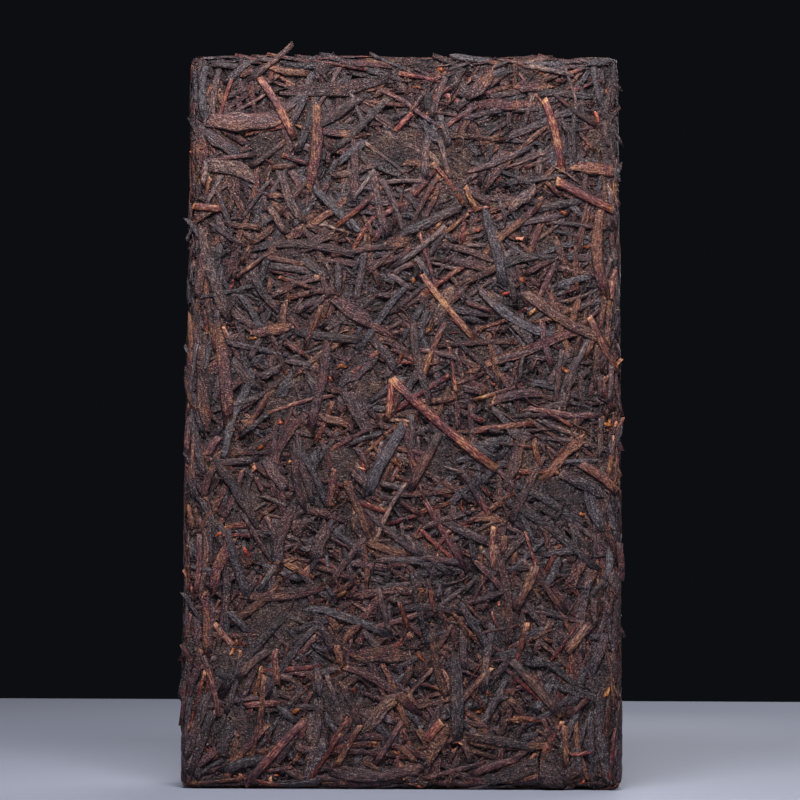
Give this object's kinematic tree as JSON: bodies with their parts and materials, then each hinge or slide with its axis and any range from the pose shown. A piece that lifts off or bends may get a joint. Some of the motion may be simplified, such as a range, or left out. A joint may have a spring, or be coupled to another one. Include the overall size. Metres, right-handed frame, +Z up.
{
  "type": "pressed pu erh tea brick",
  "caption": "Rectangular brick of dark pressed tea leaves standing on its short end, with rolled and broad leaves and reddish twigs in relief on every face.",
  "frame": {"origin": "middle of the base, on the surface that the brick stands on", "axes": "+Z up along the brick's length, +X to the right across its width as seen from the front, +Y to the back through its thickness"},
  "size_m": [0.1473, 0.0372, 0.249],
  "materials": {
    "rolled_leaf": "matt, dark fermented leaf with a slight sheen on its ridges",
    "broad_leaf": "matt, crinkled leaf blade",
    "twig": "matt, fibrous reddish-brown stem",
    "golden_tip": "matt, orange-brown bud",
    "crumb": "matt, broken leaf and dust"
  },
  "bodies": {
    "root": {"tea_brick": "rolled_leaf"}
  },
  "joints": []
}
